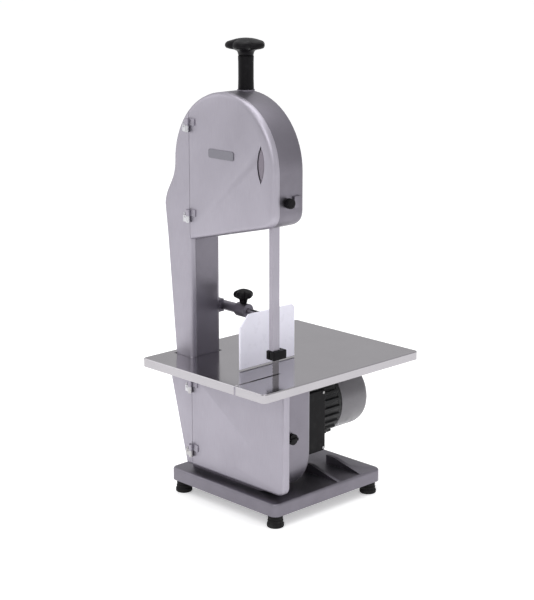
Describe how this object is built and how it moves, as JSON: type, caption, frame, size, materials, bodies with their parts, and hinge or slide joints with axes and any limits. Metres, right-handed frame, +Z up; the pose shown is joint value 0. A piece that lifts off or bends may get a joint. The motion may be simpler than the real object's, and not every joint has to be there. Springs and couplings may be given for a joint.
{
  "type": "bone saw",
  "caption": "Bench-top butcher's band saw: column and arched head with doors over two wheels, steel table, sliding blade guard, portion gauge, rear motor.",
  "frame": {"origin": "centre of the plan of the whole saw, on the plane the feet stand on", "axes": "+Z up; +X along the plane of the wheels, from the column towards the cutting strand; +Y from the operator and the doors towards the motor"},
  "size_m": [0.332, 0.4, 0.8484],
  "materials": {
    "cast_aluminium": "satin, sand-cast and hand-finished",
    "anodised_aluminium": "satin anodised",
    "stainless_steel": "polished",
    "steel": "machined",
    "cast_iron": "machined rim",
    "black_paint": "semi-matt",
    "silver_paint": "satin",
    "black_plastic": "satin",
    "black_rubber": "matt",
    "white_plastic": "satin",
    "green_plastic": "gloss",
    "red_plastic": "gloss"
  },
  "bodies": {
    "frame": {"base_plate": "cast_aluminium", "foot_front_left": "black_rubber", "foot_front_right": "black_rubber", "foot_rear_left": "black_rubber", "foot_rear_right": "black_rubber", "lower_housing": "cast_aluminium", "column": "cast_aluminium", "head_casting": "cast_aluminium", "column_cover": "anodised_aluminium", "lower_side_cover": "anodised_aluminium", "upper_hinge_bottom": "steel", "upper_hinge_top": "steel", "lower_hinge_bottom": "steel", "lower_hinge_top": "steel", "carriage_rail_left": "steel", "carriage_rail_right": "steel", "tension_sleeve": "black_plastic", "tension_spring": "steel", "motor_bearing": "steel", "motor_flange": "black_paint", "motor_body": "black_paint", "motor_end_shield": "black_paint", "fan_cowl": "silver_paint", "capacitor_box": "black_plastic", "capacitor_lid": "black_plastic", "cable_gland": "black_plastic", "saw_band": "stainless_steel", "guard_bracket": "cast_aluminium", "lower_guide": "black_plastic", "wheel_scraper": "steel", "table": "stainless_steel", "table_support_left": "black_paint", "table_support_right": "black_paint", "gauge_bracket": "cast_aluminium", "switch_box": "black_plastic"},
    "upper_door": {"upper_door": "anodised_aluminium", "upper_door_badge": "steel"},
    "upper_latch": {"upper_door_latch": "black_plastic"},
    "lower_door": {"lower_door": "anodised_aluminium"},
    "lower_latch": {"lower_door_latch": "black_plastic"},
    "tension_handwheel": {"tension_knob": "black_plastic", "tension_screw": "steel"},
    "carriage": {"wheel_carriage": "cast_aluminium", "upper_axle": "steel", "upper_axle_nut": "steel", "upper_bearing_front": "steel", "upper_bearing_rear": "steel"},
    "upper_pulley": {"upper_wheel": "cast_iron"},
    "drive": {"lower_wheel": "cast_iron", "lower_wheel_bolt": "steel", "motor_shaft": "steel", "cooling_fan": "black_plastic"},
    "guard": {"blade_guard": "anodised_aluminium", "upper_guide": "black_plastic"},
    "guard_lock": {"guard_lock_knob": "black_plastic"},
    "gauge": {"gauge_rod": "stainless_steel", "gauge_plate": "white_plastic"},
    "gauge_lock": {"gauge_lock_knob": "black_plastic"},
    "start": {"start_button": "green_plastic"},
    "stop": {"stop_button": "red_plastic"}
  },
  "joints": [
    {"name": "upper_door_swing", "type": "hinge", "parent": "frame", "child": "upper_door", "pos_m": [-0.0933, -0.1393, 0.62], "axis": [0, 0, -1], "range_deg": [0, 110]},
    {"name": "upper_latch_pull", "type": "hinge", "parent": "upper_door", "child": "upper_latch", "pos_m": [0.09, -0.1325, 0.6705], "axis": [-1, 0, 0], "range_deg": [0, 35]},
    {"name": "lower_door_swing", "type": "hinge", "parent": "frame", "child": "lower_door", "pos_m": [-0.0933, -0.1393, 0.15], "axis": [0, 0, -1], "range_deg": [0, 110]},
    {"name": "lower_latch_turn", "type": "hinge", "parent": "frame", "child": "lower_latch", "pos_m": [0.138, -0.1036, 0.158], "axis": [1, 0, 0], "range_deg": [0, 90]},
    {"name": "tension_turn", "type": "hinge", "parent": "frame", "child": "tension_handwheel", "pos_m": [-0.007, -0.077, 0.83], "axis": [0, 0, 1], "range_deg": [0, 1100]},
    {"name": "carriage_slide", "type": "slide", "parent": "frame", "child": "carriage", "axis": [0, 0, 1], "range_m": [-0.006, 0], "deforming": ["saw_band"]},
    {"name": "lower_wheel_spin", "type": "hinge", "parent": "frame", "child": "drive", "pos_m": [-0.007, -0.098, 0.156], "axis": [0, 1, 0], "continuous": true},
    {"name": "upper_wheel_spin", "type": "hinge", "parent": "carriage", "child": "upper_pulley", "pos_m": [-0.007, -0.098, 0.62312], "axis": [0, 1, 0], "continuous": true},
    {"name": "guard_slide", "type": "slide", "parent": "frame", "child": "guard", "axis": [0, 0, 1], "range_m": [-0.026, 0.088]},
    {"name": "guard_lock_turn", "type": "hinge", "parent": "frame", "child": "guard_lock", "pos_m": [0.13, -0.105, 0.57858], "axis": [1, 0, 0], "range_deg": [0, 360]},
    {"name": "gauge_slide", "type": "slide", "parent": "frame", "child": "gauge", "axis": [1, 0, 0], "range_m": [-0.05, 0.045]},
    {"name": "gauge_lock_turn", "type": "hinge", "parent": "frame", "child": "gauge_lock", "pos_m": [-0.04633, -0.048, 0.375], "axis": [0, 0, 1], "range_deg": [0, 360]},
    {"name": "start_press", "type": "slide", "parent": "frame", "child": "start", "axis": [1, 0, 0], "range_m": [0, 0.0035], "stiffness_N_per_m": 400, "springref_m": -0.002},
    {"name": "stop_press", "type": "slide", "parent": "frame", "child": "stop", "axis": [1, 0, 0], "range_m": [0, 0.0035], "stiffness_N_per_m": 400, "springref_m": -0.002}
  ],
  "couplings": [
    {"joint": "tension_turn", "follows": "carriage_slide", "rad_per_m": -3141.6},
    {"joint": "upper_wheel_spin", "follows": "lower_wheel_spin", "ratio": 1}
  ]
}
